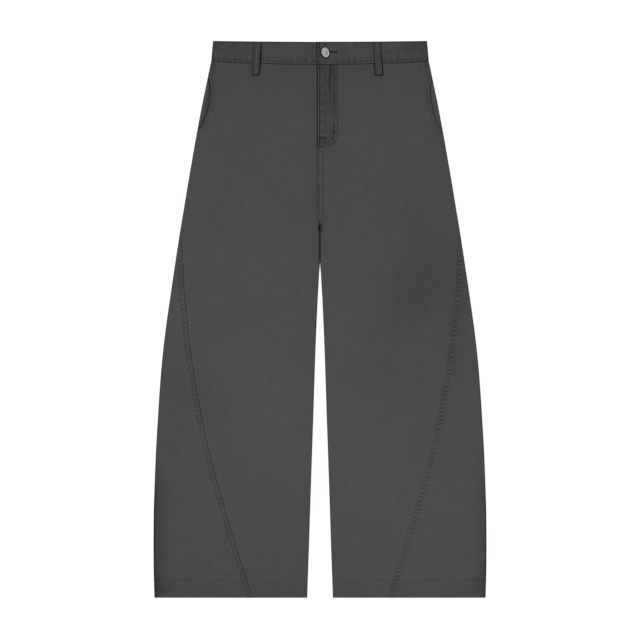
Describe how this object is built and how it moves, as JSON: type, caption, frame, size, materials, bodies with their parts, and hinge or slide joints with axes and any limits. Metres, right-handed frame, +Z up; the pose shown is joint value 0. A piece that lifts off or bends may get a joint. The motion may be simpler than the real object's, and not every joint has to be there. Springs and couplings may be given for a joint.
{
  "type": "barrel leg trousers",
  "caption": "Barrel leg trousers laid flat, with a curved seam down each wide leg, a zip fly, scoop pockets, belt loops and a metal button.",
  "frame": {"origin": "middle of the underside that lies on the surface, halfway between hems and waist", "axes": "+X towards the wearer's left, +Y from the hems to the waist, +Z up out of the surface"},
  "size_m": [0.582, 0.9724, 0.0193],
  "materials": {
    "twill": "matte cotton twill",
    "twill_band": "matte cotton twill",
    "button_metal": "antique nickel"
  },
  "bodies": {
    "root": {"front_left": "twill", "front_right": "twill", "side_left": "twill", "side_right": "twill", "back_left": "twill", "back_right": "twill", "pocket_facing_left": "twill", "pocket_facing_right": "twill", "waistband_left": "twill_band", "waistband_right": "twill_band", "waistband_back": "twill_band", "belt_loop_left": "twill_band", "belt_loop_right": "twill_band", "button": "button_metal"}
  },
  "joints": []
}
